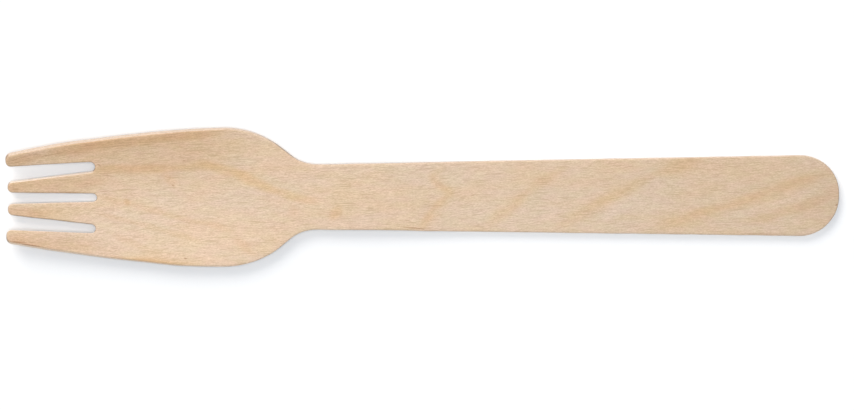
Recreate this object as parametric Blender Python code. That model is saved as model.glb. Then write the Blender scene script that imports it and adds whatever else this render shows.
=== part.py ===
"""Disposable wooden fork, stamped out of one veneer sheet and pressed to shape.

Metres, +Z up. The fork lies along X with its tine tips at -X and rests on Z = 0.
"""

import math

import bmesh
import bpy
from mathutils import Vector

# Whole fork
length = 0.160
sheet = 0.0016
edge_round = 0.00025

# Outline of the head; each "from_tip" is measured from the outer tine tips
tips_width = 0.0174
head_width = 0.02693
widest_from_tip = 0.0418
side_bow = 1.62
shoulder_radius = 0.0175

# Outline of the neck and the handle
neck_from_tip = 0.0597
neck_width = 0.01253
neck_radius = 0.0080
end_radius = 0.00745
end_flat = 0.0006

# Tines and the three slots between them; a mouth is a slot's width on the line of the outer tips
tine_tip_radius = 0.00095
outer_tip_radius = 0.00128
inner_tine_setback = 0.0003
outer_slot_depth = 0.0171
outer_slot_mouth = 0.0034
outer_slot_foot = 0.0021
outer_mouth_off_axis = 0.0048
outer_foot_off_axis = 0.0062
middle_slot_depth = 0.0174
middle_slot_mouth = 0.00235
middle_slot_foot = 0.00165
slot_corner_radius = 0.00098

# Pressed form: the dished head, the lifted tine tips and the arched neck
dish_depth = 0.0016
dish_fade_from_tip = 0.028
dish_end_from_tip = 0.068
tip_lift = 0.0010
lift_from_tip = 0.030
arch_height = 0.0008
arch_from_tip = 0.040
arch_end_from_tip = 0.094

tip_x = -length / 2
end_x = length / 2


def side_half(x):
    """Half the head's width between the tine tips and the widest line."""
    back = max(0.0, (tip_x + widest_from_tip - x) / widest_from_tip)
    return head_width / 2 - (head_width - tips_width) / 2 * back**side_bow


def bend(centre, radius, start, end):
    """Points of an arc. A negative radius puts them on the far side of the centre."""
    step = 0.12 + 0.00022 / abs(radius)
    steps = max(3, round(abs(end - start) / step))
    angles = [start + (end - start) * i / steps for i in range(steps + 1)]
    return [centre + radius * Vector((math.cos(a), math.sin(a))) for a in angles]


def tangent_angle(centre_a, radius_a, centre_b, radius_b):
    """Direction of the normal of the straight edge that joins two arcs smoothly."""
    apart = centre_b - centre_a
    lean = (radius_a - radius_b) / apart.length
    along = apart.normalized()
    across = Vector((-along.y, along.x))
    normal = along * lean + across * math.sqrt(max(0.0, 1 - lean * lean))
    return math.atan2(normal.y, normal.x)


def rounded(before, corner, after, radius):
    """A corner turned into an arc, which is made smaller where an edge is too short for it."""
    to_before = before - corner
    to_after = after - corner
    half = to_before.angle(to_after) / 2
    setback = min(radius / math.tan(half), 0.49 * to_before.length, 0.49 * to_after.length)
    radius = setback * math.tan(half)
    middle = (to_before.normalized() + to_after.normalized()).normalized()
    centre = corner + middle * math.hypot(setback, radius)
    first = corner + to_before.normalized() * setback - centre
    last = corner + to_after.normalized() * setback - centre
    start = math.atan2(first.y, first.x)
    sweep = math.atan2(first.x * last.y - first.y * last.x, first.dot(last))
    return bend(centre, radius, start, start + sweep)


def outer_slot_edge(x, side):
    """Distance from the axis to an edge of an outer slot: side is -1 for the inner, 1 for the outer."""
    share = (x - tip_x) / outer_slot_depth
    off_axis = outer_mouth_off_axis + (outer_foot_off_axis - outer_mouth_off_axis) * share
    width = outer_slot_mouth + (outer_slot_foot - outer_slot_mouth) * share
    return off_axis + side * width / 2


def middle_slot_edge(x):
    share = (x - tip_x) / middle_slot_depth
    return (middle_slot_mouth + (middle_slot_foot - middle_slot_mouth) * share) / 2


def tine_outline():
    """Half the comb of tines, from the foot of the middle slot out to the head's side."""
    inner_x = tip_x + inner_tine_setback
    middle_x = tip_x + middle_slot_depth
    foot_x = tip_x + outer_slot_depth
    side_x = tip_x + 4 * tine_tip_radius
    corners = [
        (Vector((middle_x, middle_slot_edge(middle_x))), slot_corner_radius),
        (Vector((inner_x, middle_slot_edge(inner_x))), tine_tip_radius),
        (Vector((inner_x, outer_slot_edge(inner_x, -1))), tine_tip_radius),
        (Vector((foot_x, outer_slot_edge(foot_x, -1))), slot_corner_radius),
        (Vector((foot_x, outer_slot_edge(foot_x, 1))), slot_corner_radius),
        (Vector((tip_x, outer_slot_edge(tip_x, 1))), tine_tip_radius),
        (Vector((tip_x, side_half(tip_x))), outer_tip_radius),
    ]
    places = [Vector((middle_x, -middle_slot_edge(middle_x)))]
    places += [corner for corner, _ in corners]
    places.append(Vector((side_x, side_half(side_x))))
    points = []
    for i, (corner, radius) in enumerate(corners):
        points += rounded(places[i], corner, places[i + 2], radius)
    return points


def side_outline():
    """The bowed side of the head, up to where the shoulder arc takes over."""
    start = tip_x + 4 * tine_tip_radius
    stop = tip_x + widest_from_tip
    steps = 14
    places = [start + (stop - start) * i / steps for i in range(steps)]
    return [Vector((x, side_half(x))) for x in places]


def handle_outline():
    """Shoulder, neck, flared handle and round end, as three arcs joined by straight edges."""
    shoulder = Vector((tip_x + widest_from_tip, head_width / 2 - shoulder_radius))
    neck = Vector((tip_x + neck_from_tip, neck_width / 2 + neck_radius))
    end = Vector((end_x - end_radius, end_flat / 2))
    into_neck = tangent_angle(shoulder, shoulder_radius, neck, -neck_radius)
    into_end = tangent_angle(neck, -neck_radius, end, end_radius)
    points = bend(shoulder, shoulder_radius, math.pi / 2, into_neck)
    points += bend(neck, -neck_radius, into_neck, into_end)
    points += bend(end, end_radius, into_end, 0)
    return points


def outline():
    """The whole stamped outline, clockwise seen from above."""
    half = tine_outline() + side_outline() + handle_outline()
    other = [Vector((p.x, -p.y)) for p in reversed(half)]
    return half + other


def inset(points, distance):
    """The outline moved inwards by a distance."""
    moved = []
    for i, point in enumerate(points):
        before = (point - points[i - 1]).normalized()
        after = (points[(i + 1) % len(points)] - point).normalized()
        inward = Vector((before.y, -before.x)) + Vector((after.y, -after.x))
        moved.append(point + inward * (distance * 2 / inward.length_squared))
    return moved


def stamp(mesh):
    """The flat blank, with the edges of its rim rounded over."""
    points = outline()
    quarter = [math.radians(90) * i / 2 for i in range(3)]
    layers = [(1 - math.sin(a), 1 - math.cos(a)) for a in quarter]
    levels = [(edge_round * back, edge_round * up) for back, up in layers]
    levels += [(edge_round * back, sheet - edge_round * up) for back, up in reversed(layers)]
    rings = []
    for back, height in levels:
        rings.append([mesh.verts.new((p.x, p.y, height)) for p in inset(points, back)])
    for lower, upper in zip(rings, rings[1:]):
        for i in range(len(lower)):
            mesh.faces.new((lower[i - 1], lower[i], upper[i], upper[i - 1]))
    mesh.faces.new(rings[0])
    mesh.faces.new(rings[-1])


def score(mesh, axis, places):
    """Cuts the blank's surface along parallel lines, so that it can follow the pressed form."""
    for place in places:
        bmesh.ops.bisect_plane(
            mesh,
            geom=mesh.verts[:] + mesh.edges[:] + mesh.faces[:],
            dist=0.00003,
            plane_co=axis * place,
            plane_no=axis,
        )


def ease(value):
    """A smooth change from 0 to 1."""
    value = min(max(value, 0.0), 1.0)
    return (1 - math.cos(math.pi * value)) / 2


def underside(x, y):
    """Height of the pressed sheet's lower face."""
    out = x - tip_x
    fade = ease((out - dish_fade_from_tip) / (dish_end_from_tip - dish_fade_from_tip))
    dish = dish_depth * (1 - fade) * (y / side_half(x)) ** 2
    lift = tip_lift * max(0.0, 1 - out / lift_from_tip) ** 2
    along = (out - arch_from_tip) / (arch_end_from_tip - arch_from_tip)
    arch = arch_height * ease(2 * along) * ease(2 - 2 * along)
    return dish + lift + arch


def press(mesh):
    """Lays the blank onto the pressed form, keeping its thickness square to the surface."""
    near = 0.00001
    for vert in mesh.verts:
        x, y, up = vert.co
        slope_x = (underside(x + near, y) - underside(x - near, y)) / (2 * near)
        slope_y = (underside(x, y + near) - underside(x, y - near)) / (2 * near)
        normal = Vector((-slope_x, -slope_y, 1)).normalized()
        vert.co = Vector((x, y, underside(x, y))) + normal * up


def birch_veneer():
    material = bpy.data.materials.new("birch_veneer")
    material.use_nodes = True
    shader = material.node_tree.nodes["Principled BSDF"]
    shader.inputs["Base Color"].default_value = (0.76, 0.57, 0.40, 1)
    shader.inputs["Roughness"].default_value = 0.7
    return material


def fork():
    mesh = bmesh.new()
    stamp(mesh)
    across = [tip_x + 0.0025 * i for i in range(1, math.ceil(arch_end_from_tip / 0.0025) + 1)]
    score(mesh, Vector((1, 0, 0)), across)
    lines = math.ceil(head_width / 2 / 0.0022)
    score(mesh, Vector((0, 1, 0)), [0.0022 * i for i in range(-lines + 1, lines)])
    press(mesh)
    bmesh.ops.recalc_face_normals(mesh, faces=mesh.faces[:])
    data = bpy.data.meshes.new("fork")
    mesh.to_mesh(data)
    mesh.free()
    data.materials.append(birch_veneer())
    data.shade_smooth()
    data.set_sharp_from_angle(angle=math.radians(50))
    piece = bpy.data.objects.new("fork", data)
    bpy.context.collection.objects.link(piece)


for leftover in list(bpy.data.objects):
    bpy.data.objects.remove(leftover)
fork()
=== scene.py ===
"""A disposable birch fork lying on a white table, seen from above."""

import math

import bmesh
import bpy
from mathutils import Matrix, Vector, geometry, kdtree, noise


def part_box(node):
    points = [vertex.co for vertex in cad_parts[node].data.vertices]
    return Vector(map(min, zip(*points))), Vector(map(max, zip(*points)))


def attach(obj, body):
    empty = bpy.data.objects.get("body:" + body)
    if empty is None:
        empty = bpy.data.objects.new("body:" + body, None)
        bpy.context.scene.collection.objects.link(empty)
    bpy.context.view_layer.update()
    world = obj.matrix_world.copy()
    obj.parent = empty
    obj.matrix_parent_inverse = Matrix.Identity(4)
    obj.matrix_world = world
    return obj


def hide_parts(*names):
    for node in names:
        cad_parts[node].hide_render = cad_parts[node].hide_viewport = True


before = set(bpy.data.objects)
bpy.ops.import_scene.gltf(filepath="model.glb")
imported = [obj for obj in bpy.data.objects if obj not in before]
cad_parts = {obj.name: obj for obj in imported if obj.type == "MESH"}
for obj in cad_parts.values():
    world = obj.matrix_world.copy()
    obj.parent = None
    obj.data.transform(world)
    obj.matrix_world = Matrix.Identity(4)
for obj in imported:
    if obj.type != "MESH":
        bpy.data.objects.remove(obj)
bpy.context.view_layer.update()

cad_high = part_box("fork")[1]

# Sizes of the fork, in metres. Each "from_tip" is measured from the outer tine tips.
end_x = cad_high[0]
tip_x = -end_x
sheet = 0.0016
edge_round = 0.00025

tips_width = 0.0174
head_width = 0.02693
widest_from_tip = 0.0418
side_bow = 1.62
shoulder_radius = 0.0175

neck_from_tip = 0.0597
neck_width = 0.01253
neck_radius = 0.0080
end_radius = 0.00745
end_flat = 0.0006

tine_tip_radius = 0.00095
outer_tip_radius = 0.00128
inner_tine_setback = 0.0003
outer_slot_depth = 0.0171
outer_slot_mouth = 0.0034
outer_slot_foot = 0.0021
outer_mouth_off_axis = 0.0048
outer_foot_off_axis = 0.0062
middle_slot_depth = 0.0174
middle_slot_mouth = 0.00235
middle_slot_foot = 0.00165
slot_corner_radius = 0.00098

dish_depth = 0.0016
dish_fade_from_tip = 0.028
dish_end_from_tip = 0.068
tip_lift = 0.0010
lift_from_tip = 0.030
arch_height = 0.0008
arch_from_tip = 0.040
arch_end_from_tip = 0.094

# Fineness of the mesh, and how far the stamped rim and the grain depart from the clean form. The
# wander's and the grain's numbers along and across are the steps of their noise in a metre.
rim_step = 0.0004
net_along = 0.0006
net_across = 0.00026
net_from_rim = 0.7 * net_across
rim_wander = 0.00004
end_skew = 0.00012
wander_along = 260
wander_across = 700
slot_pinch = 0.0004
grain_relief = 0.000007
grain_along = 170
grain_across = 1500

# Slow departures of the rim in mm: x, which side, how far out, how far they reach along the rim
rim_bulges = [
    (-69.5, 1, 0.16, 6.0),
    (-46.6, -1, 0.15, 5.0),
    (-23.5, 1, 0.07, 5.0),
    (-9.5, -1, -0.13, 7.0),
    (-24.0, -1, -0.05, 4.0),
]

# Streaks of the figure in mm: from x, y, to x, y, half width, depth. Some tan and brown streaks
# are partly painted shade. The dark marks are greyer patches, specks and fine dark lines.
tan_streaks_and_dish_shade = [
    # Over the head's upper half: wood colour, partly painted shade of the dish turned from the light.
    (-72, 8.4, -32, 9.6, 7.4, 0.42),
    (-82, -7.8, -66, -9.0, 3.0, 0.20),
    (-82, -2.4, -60, -3.4, 3.0, 0.25),
    (-82, 2.0, -60, 2.8, 3.0, 0.34),
    (-65, 5.4, -54, 5.6, 1.3, 0.38),
    (-56, 5.6, -46, 5.8, 1.3, 0.36),
    (-48, 5.8, -38, 6.1, 1.4, 0.36),
    (-41, 6.2, -33, 4.0, 1.3, 0.24),
    (-50, 4.4, -47, 2.0, 1.3, 0.30),
    (-62.5, 0.1, -55.5, -1.2, 1.0, 0.22),
    (-57.3, -0.2, -56.3, -1.6, 0.8, 0.35),
    (-57, -0.8, -48.5, -3.4, 1.0, 0.22),
    (-50, -3.0, -41, -5.0, 1.0, 0.22),
    (-42.5, -4.6, -36, -6.3, 1.0, 0.22),
    (-62.5, -3.0, -55, -4.8, 1.0, 0.24),
    (-56.5, -4.4, -49, -6.4, 1.0, 0.24),
    (-50.5, -6.0, -42, -8.8, 1.0, 0.22),
    (-60, -6.8, -52, -10.4, 1.0, 0.18),
    (-36.2, -7.6, -32, -11.6, 1.3, 0.26),
    (-62, -11.4, -44, -12.9, 1.2, 0.42),
    (-17.8, -4.8, -15.6, -1.4, 1.4, 0.42),
    (-26, -3.4, -24, -1.6, 1.6, 0.25),
    (4.9, 6.0, 1.7, 3.8, 1.3, 0.20),
    (1.7, 4.4, 5.3, 0.2, 1.3, 0.24),
    (5.3, 0.8, 1.7, -3.1, 1.3, 0.24),
    (2.3, -2.5, -0.8, -6.3, 1.4, 0.28),
    (12.6, -5.7, 17.4, -2.3, 1.6, 0.18),
    (16.6, -3.0, 20.9, 1.6, 1.4, 0.24),
    (20.1, 0.9, 24.4, 4.1, 1.6, 0.14),
    (23.6, 3.6, 28.4, 6.4, 1.5, 0.16),
    (25.4, -6.1, 32.6, -2.2, 1.6, 0.18),
    (31.4, -2.8, 38.6, 1.0, 1.5, 0.23),
    (37.4, 0.4, 44.6, 4.4, 1.5, 0.23),
    (43.0, 3.8, 55.0, 7.4, 1.6, 0.22),
    (43.8, -6.8, 51.7, -3.9, 1.5, 0.16),
    (50.0, -4.0, 58.7, -1.8, 1.4, 0.28),
    (57.2, -2.2, 66.8, 1.2, 1.4, 0.24),
    (64.8, 0.4, 79.2, 4.9, 1.6, 0.23),
    (61.0, -5.4, 70.2, -3.0, 1.5, 0.32),
    (68.4, -3.6, 81.1, 0.6, 1.5, 0.28),
]
yellow_streaks = [
    (-44, 6.8, -34, 4.6, 1.6, 0.32),
    (-36, 4.8, -28.5, 1.2, 1.8, 0.50),
    (-31, 2.2, -20, -0.9, 1.4, 0.46),
    (2, 4.6, 5, 0.8, 2.2, 0.22),
    (5, 0.0, 0, -5.8, 2.3, 0.22),
    (13, -5.6, 21, 1.6, 2.4, 0.25),
    (20, 1.0, 27, 5.8, 2.4, 0.20),
    (28, -4.8, 44, 4.2, 2.6, 0.26),
    (44, 4.4, 54, 7.2, 2.4, 0.26),
    (45, -6.6, 60, -1.6, 2.5, 0.22),
    (58, -2.4, 78, 5.0, 2.4, 0.22),
]
brown_streaks_and_rim_shade = [
    # Along the upper rim: partly painted shade of the dish turned from the light, partly darkening from
    # the press.
    (-82, 6.9, -73, 8.2, 1.8, 0.32),
    (-74, 8.4, -60, 10.6, 1.7, 0.30),
    (-64, 10.1, -48, 11.7, 1.7, 0.28),
    (-52, 11.6, -37, 12.9, 1.5, 0.30),
    (-82, -2.6, -70, -3.0, 1.8, 0.30),
    (-82, -7.6, -75, -8.2, 2.0, 0.18),
    (-82, 2.0, -76, 2.0, 1.8, 0.14),
    (-66, 2.4, -60, 4.4, 2.0, 0.12),
    (-64, -11.4, -47, -12.8, 0.7, 0.30),
    (46, 6.6, 57, 7.6, 1.2, 0.12),
]
pale_streaks = [
    (-50, -9.6, -30, -6.8, 4.8, 0.8),
    (-46, -2.0, -28, -5.0, 3.0, 0.5),
    (-42, -11.8, -36, -11.6, 2.4, 0.5),
    (-53, -0.8, -45, -1.6, 1.6, 0.4),
    (-14, 1.0, -5, 1.4, 2.2, 0.4),
    (-7, -3.8, 0, -3.2, 1.8, 0.4),
    (5, 1.0, 12, 1.6, 1.8, 0.4),
    (8, -3.6, 18, -4.0, 2.4, 0.3),
    (21, -4.6, 27, -2.0, 1.6, 0.4),
    (33, -4.4, 42, -0.4, 2.0, 0.6),
    (55, -5.6, 72, -0.2, 1.5, 0.6),
    (66, -2.6, 80, 2.8, 1.3, 0.7),
    (60, 6.4, 69, 6.8, 1.8, 0.3),
]
dark_marks = [
    (-82, -7.9, -72, -9.5, 1.8, 0.14),
    (-80, -8.0, -58, -9.6, 2.6, 0.22),
    (-82, 2.0, -62, 2.8, 2.4, 0.10),
    (70, 0.0, 84, 0.5, 8.0, 0.11),
    (-45.9, -11.6, -45.3, -11.7, 0.16, 1.0),
    (-46.1, 7.1, -45.4, 7.1, 0.14, 0.8),
    (-48.2, 2.4, -47.6, 2.3, 0.16, 0.8),
    (-39.6, -3.9, -39.0, -3.9, 0.12, 0.6),
    (79.3, -1.9, 79.7, -1.6, 0.2, 1.0),
    (9.3, 0.3, 9.8, 0.3, 0.12, 0.6),
    (-4.4, -5.7, 1.0, -6.2, 0.16, 0.8),
    (-14, -6.2, -5, -6.3, 0.12, 0.5),
    (61, -7.2, 70, -7.4, 0.14, 0.6),
    (-79.6, 7.1, -74.4, 8.7, 0.16, 0.3),
    (-79.2, 6.9, -73.5, 7.7, 0.15, 0.25),
    (-74.0, 8.0, -69.5, 8.7, 0.15, 0.6),
    (-79.3, 1.6, -77.0, 1.8, 0.14, 0.6),
    (-77.5, 0.95, -72.5, 1.2, 0.16, 0.7),
    (-72.5, 1.2, -64.0, 1.0, 0.15, 0.5),
    (-75.2, -3.7, -68.0, -4.4, 0.14, 0.6),
    (-80.1, -7.2, -79.3, -8.8, 0.22, 1.0),
    (-79.4, -8.4, -76.5, -9.2, 0.17, 0.85),
    (-78.8, -8.2, -76.2, -8.4, 0.16, 0.85),
    (-77.0, -8.6, -72.8, -9.3, 0.16, 0.85),
    (-73.7, -9.7, -64.0, -11.1, 0.17, 0.6),
    (-62.4, 6.6, -61.6, 6.0, 0.14, 0.5),
    (-61.5, 4.4, -59.0, 4.1, 0.14, 0.5),
    (-62.2, 1.2, -60.0, 1.3, 0.14, 0.6),
]

# How far a streak reaches from its middle, as a share of the distance between its points, and the outer
# share of that reach over which it fades
streak_reach = 0.68
streak_fade = 0.8

# Where the slots' edge colours, with their painted light and painted shade, give way to the rim's: at
# their feet, and out from the axis
slots_end = (-0.063, -0.062)
slots_side = (0.0075, 0.0082)

# The photograph's frame, in pixels, and where the fork lies in it
photo_width = 854
photo_height = 410
pixels_per_metre = 5205
fork_middle_px = (422.7, 196.85)
fork_turn = math.radians(0.14)
camera_lean = math.radians(-6)
camera_height = 0.9
sensor_width = 36


def side_half(x):
    """Half the head's width between the tine tips and the widest line."""
    back = max(0.0, (tip_x + widest_from_tip - x) / widest_from_tip)
    return head_width / 2 - (head_width - tips_width) / 2 * back**side_bow


def bend(centre, radius, start, end):
    """Points of an arc. A negative radius puts them on the far side of the centre."""
    steps = max(6, round(abs((end - start) * radius) / rim_step))
    angles = [start + (end - start) * i / steps for i in range(steps + 1)]
    return [centre + radius * Vector((math.cos(a), math.sin(a))) for a in angles]


def tangent_angle(centre_a, radius_a, centre_b, radius_b):
    """Direction of the normal of the straight edge that joins two arcs smoothly."""
    apart = centre_b - centre_a
    lean = (radius_a - radius_b) / apart.length
    along = apart.normalized()
    across = Vector((-along.y, along.x))
    normal = along * lean + across * math.sqrt(1 - lean * lean)
    return math.atan2(normal.y, normal.x)


def rounded(before, corner, after, radius):
    """A corner turned into an arc, which is made smaller where an edge is too short for it."""
    to_before = before - corner
    to_after = after - corner
    half = to_before.angle(to_after) / 2
    setback = min(radius / math.tan(half), 0.49 * to_before.length, 0.49 * to_after.length)
    radius = setback * math.tan(half)
    middle = (to_before.normalized() + to_after.normalized()).normalized()
    centre = corner + middle * math.hypot(setback, radius)
    first = corner + to_before.normalized() * setback - centre
    last = corner + to_after.normalized() * setback - centre
    start = math.atan2(first.y, first.x)
    sweep = math.atan2(first.x * last.y - first.y * last.x, first.dot(last))
    return bend(centre, radius, start, start + sweep)


def outer_slot_edge(x, side, pinch):
    """Distance from the axis to an edge of an outer slot: side is -1 for the inner, 1 for the outer."""
    share = (x - tip_x) / outer_slot_depth
    off_axis = outer_mouth_off_axis + (outer_foot_off_axis - outer_mouth_off_axis) * share
    width = outer_slot_mouth + (outer_slot_foot - outer_slot_mouth) * share - pinch
    return off_axis + side * width / 2


def middle_slot_edge(x):
    share = (x - tip_x) / middle_slot_depth
    return (middle_slot_mouth + (middle_slot_foot - middle_slot_mouth) * share) / 2


def tine_outline(pinch):
    """Half the comb of tines, from the foot of the middle slot out to the head's side."""
    inner_x = tip_x + inner_tine_setback
    middle_x = tip_x + middle_slot_depth
    foot_x = tip_x + outer_slot_depth
    side_x = tip_x + 4 * tine_tip_radius
    corners = [
        (Vector((middle_x, middle_slot_edge(middle_x))), slot_corner_radius),
        (Vector((inner_x, middle_slot_edge(inner_x))), tine_tip_radius),
        (Vector((inner_x, outer_slot_edge(inner_x, -1, pinch))), tine_tip_radius),
        (Vector((foot_x, outer_slot_edge(foot_x, -1, pinch))), slot_corner_radius),
        (Vector((foot_x, outer_slot_edge(foot_x, 1, pinch))), slot_corner_radius),
        (Vector((tip_x, outer_slot_edge(tip_x, 1, pinch))), tine_tip_radius),
        (Vector((tip_x, side_half(tip_x))), outer_tip_radius),
    ]
    places = [Vector((middle_x, -middle_slot_edge(middle_x)))]
    places += [corner for corner, _ in corners]
    places.append(Vector((side_x, side_half(side_x))))
    points = []
    for i, (corner, radius) in enumerate(corners):
        points += rounded(places[i], corner, places[i + 2], radius)
    return points


def side_outline():
    """The bowed side of the head, up to where the shoulder arc takes over."""
    start = tip_x + 4 * tine_tip_radius
    stop = tip_x + widest_from_tip
    steps = round((stop - start) / rim_step)
    places = [start + (stop - start) * i / steps for i in range(steps)]
    return [Vector((x, side_half(x))) for x in places]


def handle_outline():
    """Shoulder, neck, flared handle and round end, as three arcs joined by straight edges."""
    shoulder = Vector((tip_x + widest_from_tip, head_width / 2 - shoulder_radius))
    neck = Vector((tip_x + neck_from_tip, neck_width / 2 + neck_radius))
    end = Vector((end_x - end_radius, end_flat / 2))
    into_neck = tangent_angle(shoulder, shoulder_radius, neck, -neck_radius)
    into_end = tangent_angle(neck, -neck_radius, end, end_radius)
    points = bend(shoulder, shoulder_radius, math.pi / 2, into_neck)
    points += bend(neck, -neck_radius, into_neck, into_end)
    points += bend(end, end_radius, into_end, 0)
    return points


def with_short_edges(points):
    """The closed outline with its long straight edges divided."""
    divided = []
    for point, after in zip(points, points[1:] + points[:1]):
        pieces = max(1, round((after - point).length / rim_step))
        divided += [point.lerp(after, i / pieces) for i in range(pieces)]
    return divided


def outline():
    """The whole stamped outline, clockwise seen from above. One outer slot is a little pinched."""
    side = side_outline() + handle_outline()
    half = tine_outline(0) + side
    other = [Vector((p.x, -p.y)) for p in reversed(tine_outline(slot_pinch) + side)]
    return with_short_edges(half + other)


def inset(points, distance):
    """The outline moved inwards by a distance, which may differ from point to point."""
    moved = []
    for i, point in enumerate(points):
        before = (point - points[i - 1]).normalized()
        after = (points[(i + 1) % len(points)] - point).normalized()
        inward = Vector((before.y, -before.x)) + Vector((after.y, -after.x))
        moved.append(point + inward * (distance(point) * 2 / inward.length_squared))
    return moved


def departure(point):
    """How far the rim lies inwards of its clean form."""
    inwards = rim_wander * noise.noise(Vector((point.x * wander_along, point.y * wander_across, 3.1)))
    in_slot = point.x < tip_x + middle_slot_depth and abs(point.y) < side_half(point.x) - tine_tip_radius
    for x, side, out, reach in rim_bulges:
        if side * point.y > 0 and not in_slot:
            inwards -= out / 1000 * math.exp(-(((point.x * 1000 - x) / reach) ** 2))
    return inwards


def worn(points):
    """The outline as the die leaves it in wood: not quite true, and its end a little off the axis."""
    points = inset(points, departure)
    for point in points:
        point.y += end_skew * ease((point.x - end_x) / end_radius + 1)
    return points


def surface_net(rim):
    """Points and triangles that fill the area inside the outline. The rim's points come first."""
    tree = kdtree.KDTree(len(rim))
    for i, point in enumerate(rim):
        tree.insert((point.x, point.y, 0), i)
    tree.balance()
    columns = math.ceil((end_x - tip_x) / net_along)
    rows = math.ceil(head_width / net_across)
    net = []
    for column in range(columns + 1):
        for row in range(rows + 1):
            x = tip_x + column * net_along
            y = (row - rows / 2 + 0.5 * (column % 2)) * net_across
            if tree.find((x, y, 0))[2] > net_from_rim:
                net.append(Vector((x, y)))
    edges = [(i, (i + 1) % len(rim)) for i in range(len(rim))]
    points, _, faces, origins = geometry.delaunay_2d_cdt(rim + net, edges, [], 1, 1e-9)[:4]
    rim_place = {}
    for i, sources in enumerate(origins):
        for source in sources:
            if source < len(rim):
                rim_place[i] = source
    return points, faces, rim_place


def blank(mesh):
    """The flat stamped blank, with its rim rounded over and a fine net on both faces."""
    points = worn(outline())
    steps = 4
    quarter = [math.radians(90) * i / steps for i in range(steps + 1)]
    layers = [(edge_round * (1 - math.sin(a)), edge_round * (1 - math.cos(a))) for a in quarter]
    middle = [(0, sheet * share) for share in (0.35, 0.5, 0.65)]
    levels = layers + middle + [(back, sheet - up) for back, up in reversed(layers)]
    rings = []
    for back, height in levels:
        moved = inset(points, lambda _: back)
        rings.append([mesh.verts.new((p.x, p.y, height)) for p in moved])
    for lower, upper in zip(rings, rings[1:]):
        for i in range(len(lower)):
            mesh.faces.new((lower[i - 1], lower[i], upper[i], upper[i - 1]))
    net, triangles, rim_place = surface_net(inset(points, lambda _: edge_round))
    for ring, height in ((rings[0], 0), (rings[-1], sheet)):
        corners = {}
        for triangle in triangles:
            for i in triangle:
                if i in corners:
                    continue
                if i in rim_place:
                    corners[i] = ring[rim_place[i]]
                else:
                    corners[i] = mesh.verts.new((net[i].x, net[i].y, height))
            mesh.faces.new([corners[i] for i in triangle])


def ease(value):
    """A smooth change from 0 to 1."""
    value = min(max(value, 0.0), 1.0)
    return (1 - math.cos(math.pi * value)) / 2


def underside(x, y):
    """Height of the pressed sheet's lower face."""
    out = x - tip_x
    fade = ease((out - dish_fade_from_tip) / (dish_end_from_tip - dish_fade_from_tip))
    dish = dish_depth * (1 - fade) * (y / side_half(x)) ** 2
    lift = tip_lift * max(0.0, 1 - out / lift_from_tip) ** 2
    along = (out - arch_from_tip) / (arch_end_from_tip - arch_from_tip)
    arch = arch_height * ease(2 * along) * ease(2 - 2 * along)
    return dish + lift + arch


def press(mesh):
    """Lays the blank onto the pressed form, keeping its thickness square to the surface."""
    near = 0.00001
    for vert in mesh.verts:
        x, y, up = vert.co
        slope_x = (underside(x + near, y) - underside(x - near, y)) / (2 * near)
        slope_y = (underside(x, y + near) - underside(x, y - near)) / (2 * near)
        normal = Vector((-slope_x, -slope_y, 1)).normalized()
        vert.co = Vector((x, y, underside(x, y))) + normal * up


def raise_grain(mesh):
    """Gives the surface long low ridges and hollows along the fibres."""
    mesh.normal_update()
    for vert in mesh.verts:
        place = Vector((vert.co.x * grain_along, vert.co.y * grain_across, vert.co.z * grain_across))
        vert.co += vert.normal * (grain_relief * noise.noise(place))


def mapped(nodes, links, source, scale, turn=0.0):
    """Object coordinates, scaled and turned for a texture."""
    node = nodes.new("ShaderNodeMapping")
    node.inputs["Scale"].default_value = scale
    node.inputs["Rotation"].default_value = (0, 0, turn)
    links.new(source, node.inputs["Vector"])
    return node.outputs["Vector"]


def noise_value(nodes, links, vector, scale=1.0, detail=2.0, rough=0.5):
    node = nodes.new("ShaderNodeTexNoise")
    node.inputs["Scale"].default_value = scale
    node.inputs["Detail"].default_value = detail
    node.inputs["Roughness"].default_value = rough
    links.new(vector, node.inputs["Vector"])
    return node.outputs["Fac"]


def ranged(nodes, links, value, low, high, to_low=0.0, to_high=1.0):
    node = nodes.new("ShaderNodeMapRange")
    node.interpolation_type = "SMOOTHSTEP"
    node.inputs["From Min"].default_value = low
    node.inputs["From Max"].default_value = high
    node.inputs["To Min"].default_value = to_low
    node.inputs["To Max"].default_value = to_high
    links.new(value, node.inputs["Value"])
    return node.outputs["Result"]


def combined(nodes, links, operation, *values):
    node = nodes.new("ShaderNodeMath")
    node.operation = operation
    for socket, value in zip(node.inputs, values):
        if isinstance(value, (int, float)):
            socket.default_value = value
        else:
            links.new(value, socket)
    return node.outputs["Value"]


def tinted(nodes, links, amount, under, over, blend="MIX"):
    """One colour laid over another; a colour may be a socket or three numbers."""
    node = nodes.new("ShaderNodeMix")
    node.data_type = "RGBA"
    node.blend_type = blend
    colours = [socket for socket in node.inputs if socket.type == "RGBA"]
    for socket, value in zip(colours, (under, over)):
        if isinstance(value, tuple):
            socket.default_value = (*value, 1)
        else:
            links.new(value, socket)
    if isinstance(amount, float):
        node.inputs["Factor"].default_value = amount
    else:
        links.new(amount, node.inputs["Factor"])
    return [socket for socket in node.outputs if socket.type == "RGBA"][0]


def streak(nodes, links, vector, start, end, half_width, depth):
    """A streak of figure between two points, at its full depth in the middle and fading out to 0."""
    apart = end - start
    place = nodes.new("ShaderNodeMapping")
    place.vector_type = "TEXTURE"
    place.inputs["Location"].default_value = (*((start + end) / 2), 0)
    place.inputs["Rotation"].default_value = (0, 0, math.atan2(apart.y, apart.x))
    place.inputs["Scale"].default_value = (streak_reach * apart.length, half_width, 1)
    fall = nodes.new("ShaderNodeTexGradient")
    fall.gradient_type = "SPHERICAL"
    links.new(vector, place.inputs["Vector"])
    links.new(place.outputs["Vector"], fall.inputs["Vector"])
    return ranged(nodes, links, fall.outputs["Fac"], 0.0, streak_fade, 0.0, depth)


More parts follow.
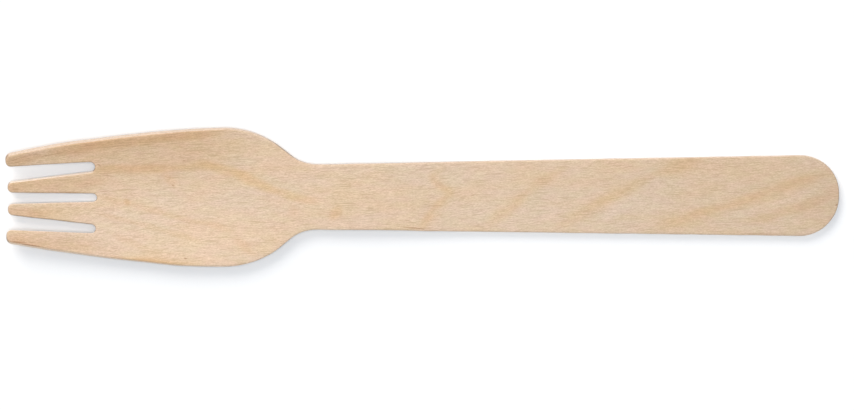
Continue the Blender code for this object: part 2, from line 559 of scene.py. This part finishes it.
def waved(nodes, links, place, scale, reach):
    """Coordinates that wander a little, so that nothing in the figure runs ruler straight."""
    drift = nodes.new("ShaderNodeTexNoise")
    drift.inputs["Scale"].default_value = 1
    drift.inputs["Detail"].default_value = 2
    links.new(mapped(nodes, links, place, scale), drift.inputs["Vector"])
    shift = nodes.new("ShaderNodeVectorMath")
    shift.operation = "MULTIPLY_ADD"
    shift.inputs[1].default_value = reach
    shift.inputs[2].default_value = tuple(-r / 2 for r in reach)
    links.new(drift.outputs["Color"], shift.inputs[0])
    moved = nodes.new("ShaderNodeVectorMath")
    moved.operation = "ADD"
    links.new(place, moved.inputs[0])
    links.new(shift.outputs["Vector"], moved.inputs[1])
    return moved.outputs["Vector"]


def figure(nodes, links, place, streaks):
    """The streaks of one list, added up where they cross."""
    total = 0.0
    for x, y, to_x, to_y, half_width, depth in streaks:
        start = Vector((x, y)) / 1000
        end = Vector((to_x, to_y)) / 1000
        band = streak(nodes, links, place, start, end, half_width / 1000, depth)
        total = combined(nodes, links, "ADD", total, band)
    return total


def fibres(nodes, links, place):
    """Brightness of short and long fibres that run close to X, with darker hairlines among them."""
    flowing = waved(nodes, links, place, (40, 70, 70), (0, 0.0035, 0))
    flowing = mapped(nodes, links, flowing, (1, 1, 1), math.radians(-2.5))
    short = noise_value(nodes, links, mapped(nodes, links, flowing, (2700, 12000, 12000)), detail=0)
    long = noise_value(nodes, links, mapped(nodes, links, flowing, (750, 12000, 12000)), detail=0)
    long = combined(nodes, links, "MULTIPLY", long, 0.5)
    both = combined(nodes, links, "MULTIPLY_ADD", short, 0.5, long)
    hair = noise_value(nodes, links, mapped(nodes, links, flowing, (240, 6800, 6800)), detail=0)
    hair = ranged(nodes, links, hair, 0.65, 0.75, 0.0, -0.28)
    return combined(nodes, links, "ADD", both, hair)


def cut_edge(nodes, links, coordinates, parts, face_colour):
    """The face's colour, with the cut edge laid over it. Where the cut crosses the fibres it is brown.
    The cut edge facing -Y is painted paler as painted light, and in the slots the walls facing +Y are
    painted pale (painted light) and those facing -Y dark (painted shade).
    """
    facing = nodes.new("ShaderNodeSeparateXYZ")
    links.new(coordinates.outputs["Normal"], facing.inputs["Vector"])
    up = combined(nodes, links, "ABSOLUTE", facing.outputs["Z"])
    along = combined(nodes, links, "ABSOLUTE", facing.outputs["X"])
    off_axis = combined(nodes, links, "ABSOLUTE", parts.outputs["Y"])
    cut = ranged(nodes, links, up, 0.5, 0.86, 1.0, 0.0)
    near_side_painted_light = ranged(nodes, links, facing.outputs["Y"], -0.5, -0.1, 1.0, 0.0)
    far_side_painted_light = ranged(nodes, links, facing.outputs["Y"], 0.1, 0.5)
    among_tines = ranged(nodes, links, parts.outputs["X"], *slots_end, 1.0, 0.0)
    in_slots = ranged(nodes, links, off_axis, *slots_side, 1.0, 0.0)
    in_slots = combined(nodes, links, "MULTIPLY", in_slots, among_tines)
    # The cut edge facing -Y is painted paler: painted light on the side the key light misses.
    rim = tinted(nodes, links, near_side_painted_light, (0.70, 0.55, 0.43), (0.85, 0.67, 0.50))
    # In the slots the walls facing +Y are painted pale (painted light) and those facing -Y dark (painted
    # shade).
    slot = tinted(nodes, links, far_side_painted_light, (0.48, 0.36, 0.26), (0.88, 0.76, 0.65))
    edge = tinted(nodes, links, in_slots, rim, slot)
    colour = tinted(nodes, links, cut, face_colour, edge)
    across_fibres = ranged(nodes, links, along, 0.35, 0.8)
    end_grain = combined(nodes, links, "MULTIPLY", cut, across_fibres)
    return tinted(nodes, links, end_grain, colour, (0.40, 0.27, 0.17))


def birch():
    """Bare birch veneer: fine fibres along X over a cloudy, slanting figure."""
    material = bpy.data.materials.new("birch_veneer")
    material.use_nodes = True
    nodes = material.node_tree.nodes
    links = material.node_tree.links
    shader = nodes["Principled BSDF"]
    coordinates = nodes.new("ShaderNodeTexCoord")
    place = coordinates.outputs["Object"]
    wavy = waved(nodes, links, place, (110, 240, 240), (0.003, 0.0013, 0))

    cloud = noise_value(nodes, links, mapped(nodes, links, place, (75, 240, 240)), detail=2)
    cloud = ranged(nodes, links, cloud, 0.3, 0.7)
    colour = tinted(nodes, links, cloud, (0.647, 0.470, 0.314), (0.638, 0.488, 0.353))
    parts = nodes.new("ShaderNodeSeparateXYZ")
    links.new(place, parts.inputs["Vector"])
    handle_end = ranged(nodes, links, parts.outputs["X"], -0.03, 0.1)
    colour = tinted(nodes, links, handle_end, colour, (0.87, 0.88, 0.88), "MULTIPLY")
    pale = figure(nodes, links, wavy, pale_streaks)
    colour = tinted(nodes, links, pale, colour, (1.03, 1.06, 1.11), "MULTIPLY")
    # Tan streaks; the first, over the head's upper half, is partly painted shade.
    tan = figure(nodes, links, wavy, tan_streaks_and_dish_shade)
    colour = tinted(nodes, links, tan, colour, (0.90, 0.76, 0.56), "MULTIPLY")
    yellow = figure(nodes, links, wavy, yellow_streaks)
    colour = tinted(nodes, links, yellow, colour, (0.96, 0.85, 0.58), "MULTIPLY")
    # Brown streaks; those along the upper rim are partly painted shade.
    brown = figure(nodes, links, wavy, brown_streaks_and_rim_shade)
    colour = tinted(nodes, links, brown, colour, (0.74, 0.52, 0.26), "MULTIPLY")
    dark = figure(nodes, links, place, dark_marks)
    colour = tinted(nodes, links, dark, colour, (0.62, 0.50, 0.42), "MULTIPLY")

    blush = noise_value(nodes, links, mapped(nodes, links, place, (260, 600, 600)), detail=1)
    blush = ranged(nodes, links, blush, 0.3, 0.7)
    blush = tinted(nodes, links, blush, (0.988, 1.008, 0.98), (1.012, 0.992, 1.02))
    colour = tinted(nodes, links, 1.0, colour, blush, "MULTIPLY")

    colour = cut_edge(nodes, links, coordinates, parts, colour)

    fibre = fibres(nodes, links, place)
    shade = ranged(nodes, links, fibre, 0.25, 0.75)
    shade = tinted(nodes, links, shade, (0.82, 0.795, 0.755), (1.155, 1.18, 1.23))
    colour = tinted(nodes, links, 1.0, colour, shade, "MULTIPLY")
    links.new(colour, shader.inputs["Base Color"])

    bump = nodes.new("ShaderNodeBump")
    bump.inputs["Distance"].default_value = 0.00001
    links.new(fibre, bump.inputs["Height"])
    links.new(bump.outputs["Normal"], shader.inputs["Normal"])
    shader.inputs["Roughness"].default_value = 0.62
    shader.inputs["Specular IOR Level"].default_value = 0.3
    return material


def fork():
    mesh = bmesh.new()
    blank(mesh)
    press(mesh)
    bmesh.ops.recalc_face_normals(mesh, faces=mesh.faces[:])
    raise_grain(mesh)
    data = bpy.data.meshes.new("birch_fork")
    mesh.to_mesh(data)
    mesh.free()
    data.materials.append(birch())
    data.shade_smooth()
    piece = bpy.data.objects.new("birch_fork", data)
    bpy.context.collection.objects.link(piece)
    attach(piece, "root")
    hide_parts("fork")


def table_top():
    """A plain white table, 8 metres square."""
    data = bpy.data.meshes.new("table_top")
    half = 4.0
    corners = [(-half, -half, 0), (half, -half, 0), (half, half, 0), (-half, half, 0)]
    data.from_pydata(corners, [], [(0, 1, 2, 3)])
    material = bpy.data.materials.new("table_white")
    material.use_nodes = True
    shader = material.node_tree.nodes["Principled BSDF"]
    shader.inputs["Base Color"].default_value = (0.868, 0.88, 0.892, 1)
    shader.inputs["Roughness"].default_value = 0.9
    shader.inputs["Specular IOR Level"].default_value = 0.0
    data.materials.append(material)
    top = bpy.data.objects.new("table_top", data)
    bpy.context.collection.objects.link(top)


def sun(name, strength, colour, width, towards_light):
    """A distant light; its width is in degrees and sets how soft its shadows are."""
    data = bpy.data.lights.new(name, "SUN")
    data.energy = strength
    data.color = colour
    data.angle = math.radians(width)
    light = bpy.data.objects.new(name, data)
    light.rotation_euler = towards_light.to_track_quat("Z", "Y").to_euler()
    bpy.context.collection.objects.link(light)


def studio_light():
    """Even light from all round and from above, and a wide soft light from the upper left."""
    world = bpy.data.worlds.new("studio")
    bpy.context.scene.world = world
    world.use_nodes = True
    sky = world.node_tree.nodes["Background"]
    sky.inputs["Color"].default_value = (0.95, 0.995, 1.05, 1)
    sky.inputs["Strength"].default_value = 0.36
    sun("overhead", 1.62, (0.98, 1.0, 1.03), 25, Vector((0, 0.05, 1)))
    sun("key", 1.7, (1.08, 1.0, 0.91), 38, Vector((-0.49, 0.87, 0.74)))


def overhead_camera():
    """A long lens above the table, leaning a little, framed as the photograph is."""
    data = bpy.data.cameras.new("camera")
    data.sensor_width = sensor_width
    data.lens = sensor_width * camera_height * pixels_per_metre / photo_width
    data.clip_start = 0.005
    camera = bpy.data.objects.new("camera", data)
    off_x = (photo_width / 2 - fork_middle_px[0]) / pixels_per_metre
    off_y = (fork_middle_px[1] - photo_height / 2) / pixels_per_metre
    aim = Vector((off_x, off_y, sheet))
    away = Vector((0, math.sin(-camera_lean), math.cos(camera_lean)))
    camera.location = aim + away * camera_height
    camera.rotation_mode = "ZYX"
    camera.rotation_euler = (camera_lean, 0, -fork_turn)
    bpy.context.collection.objects.link(camera)
    bpy.context.scene.camera = camera


overhead_camera()
fork()
table_top()
studio_light()
bpy.context.scene.view_settings.view_transform = "Standard"
